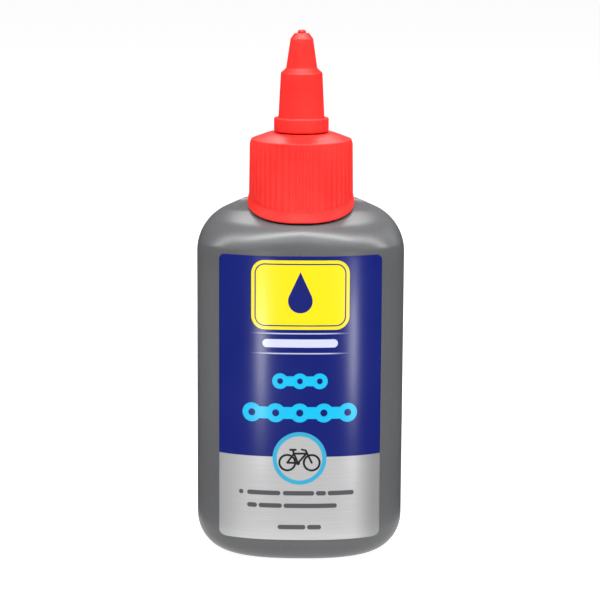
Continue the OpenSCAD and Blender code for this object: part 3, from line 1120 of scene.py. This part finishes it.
def tip_piece(material):
    outline = rounded_outline([
        (TIP_BORE, TIP_BASE, 0.15),
        (COLLAR_RADIUS, TIP_BASE, 0.22),
        (COLLAR_RADIUS, COLLAR_TOP, 0.25),
        (LOWER_CONE_BASE_RADIUS, COLLAR_TOP, 0.35),
        (LOWER_CONE_TOP_RADIUS, LOWER_CONE_TOP, 0.5),
        (UPPER_CONE_BASE_RADIUS, UPPER_CONE_BASE, 0.5),
        (UPPER_CONE_TOP_RADIUS, UPPER_CONE_TOP, 1.2),
        (TIP_TOP_RADIUS, TIP_TOP, 0.5),
        (ORIFICE_RADIUS, TIP_TOP, 0.12),
        (ORIFICE_RADIUS, ORIFICE_BASE, 0.1),
        (INNER_CONE_TOP_RADIUS, ORIFICE_BASE, 0.2),
        (INNER_CONE_BASE_RADIUS, UPPER_CONE_BASE, 0.3),
        (TIP_BORE, TIP_BORE_TOP, 0.3),
        (TIP_BORE, 113.8, 0.05),
        (TIP_BEAD_BORE, 113.75, 0.05),
        (TIP_BORE, 112.9, 0.1),
    ], steps=6)
    # Long straight runs get rows of their own, so that the shading stays even
    dense = []
    for i, (r, z) in enumerate(outline):
        dense.append((r, z))
        next_r, next_z = outline[(i + 1) % len(outline)]
        rows = int(math.hypot(next_r - r, next_z - z) / TIP_ROW_HEIGHT)
        for k in range(1, rows):
            t = k / rows
            dense.append((r + (next_r - r) * t, z + (next_z - z) * t))
    points, faces = revolve(dense, TIP_TURNS)
    new_object("dosing_tip", points, faces, material, "tip_body", ["tip"])


# Studio, in metres

def paper_sheet(name, points, faces, grain_scale, tones, roughness, glow):
    """A glowing sheet of studio paper between two grey tones."""
    mesh = bpy.data.meshes.new(name)
    mesh.from_pydata(points, [], faces)
    n = Nodes(name + "_paper")
    grain = n.noise(n.coordinates(), grain_scale, 2)
    dark, light = [(tone, tone, tone, 1) for tone in tones]
    n.set("Base Color", n.mix(grain, dark, light))
    n.set("Roughness", roughness)
    n.set("Emission Color", (1, 1, 1, 1))
    n.set("Emission Strength", glow)
    return add_object(name, mesh, n.material)


def floor():
    """The paper that the bottle stands on, hidden from reflections."""
    half = 6.0
    points = [(-half, -half, 0), (half, -half, 0), (half, half, 0), (-half, half, 0)]
    obj = paper_sheet("floor", points, [(0, 1, 2, 3)], grain_scale=400, tones=(0.22, 0.24),
                      roughness=0.85, glow=0.95)
    obj.visible_glossy = False


def backdrop():
    """The paper behind the floor, which closes the horizon for the camera alone."""
    size = 96
    radius = 6.0
    ring = circle_points(radius, size)
    points = [(x, y, z) for z in (-0.01, 5.0) for x, y in ring]
    obj = paper_sheet("backdrop", points, rings_to_faces(2, size), grain_scale=40, tones=(0.01, 0.02),
                      roughness=0.5, glow=0.99)
    obj.visible_diffuse = False
    obj.visible_glossy = False
    obj.visible_shadow = False


def near_floor():
    """The bright paper round the foot, as the base of the bottle mirrors it; only reflections show it."""
    size = 72
    radius = 0.050
    points = [(x, y, -0.0003) for x, y in circle_points(radius, size)]
    obj = paper_sheet("near_floor", points, [tuple(range(size))], grain_scale=400, tones=(0.22, 0.24),
                      roughness=0.5, glow=0.75)
    obj.visible_camera = False
    obj.visible_diffuse = False
    obj.visible_shadow = False
    obj.visible_transmission = False


# Area lights: name, place, size and power
LIGHTS = (
    ("front_box", (0.0, -0.95, 0.78), (0.8, 0.4), 2.2),
    ("top_box", (0, -0.28, 0.86), (1.1, 0.26), 14.0),
    ("soft_box", (0.0, -0.56, 0.74), (1.0, 0.36), 1.8),
    ("top_left_box", (-0.74, -0.03, 0.74), (0.24, 0.62), 3.6),
    ("top_right_box", (0.74, -0.06, 0.72), (0.24, 0.62), 4.0),
    ("left_box", (-0.073, -0.187, 0.018), (0.016, 0.032), 0.050),
    ("right_box", (0.123, -0.187, 0.018), (0.018, 0.032), 0.066),
    ("rim_box", (0.75, 0.45, 0.55), (0.2, 0.5), 0.6),
    ("back_box", (0.0, 0.55, 0.70), (0.5, 0.3), 3.0),
)
LIGHT_AIM = (0, 0, 0.07)
WORLD_STRENGTH = 0.05


def area_light(name, place, size, power):
    light = bpy.data.lights.new(name, "AREA")
    light.shape = "RECTANGLE"
    light.size, light.size_y = size
    light.energy = power
    obj = bpy.data.objects.new(name, light)
    obj.location = place
    obj.rotation_euler = (Vector(LIGHT_AIM) - Vector(place)).to_track_quat("-Z", "Y").to_euler()
    bpy.context.scene.collection.objects.link(obj)


def lights():
    for light in LIGHTS:
        area_light(*light)
    world = bpy.data.worlds.new("studio")
    world.use_nodes = True
    shade = world.node_tree.nodes["Background"]
    shade.inputs[0].default_value = (1, 1, 1, 1)
    shade.inputs[1].default_value = WORLD_STRENGTH
    bpy.context.scene.world = world


def camera():
    pitch = math.radians(10.5)
    roll = math.radians(0.32)
    distance = 0.6
    target = Vector((-0.00010, 0.0, 0.0655))
    sensor_width = 36.0
    focal_pixels = 2330
    picture_pixels = 600
    back = Vector((0, -math.cos(pitch), math.sin(pitch)))
    data = bpy.data.cameras.new("photo_camera")
    data.sensor_width = sensor_width
    data.lens = sensor_width * focal_pixels / picture_pixels
    data.clip_start = 0.01
    data.clip_end = 50
    obj = bpy.data.objects.new("photo_camera", data)
    turn = (-back).to_track_quat("-Z", "Y").to_matrix().to_4x4() @ Matrix.Rotation(roll, 4, "Z")
    obj.matrix_world = Matrix.Translation(target + back * distance) @ turn
    bpy.context.scene.collection.objects.link(obj)
    bpy.context.scene.camera = obj
    bpy.context.scene.view_settings.view_transform = "Standard"


grey = bottle_material()
bottle_piece(grey)
pinch_off_seam(grey)
label_piece(label_material())
closure_piece(red_material("closure_plastic", 0.95))
tip_piece(red_material("tip_plastic", 1.0))
floor()
backdrop()
near_floor()
lights()
camera()
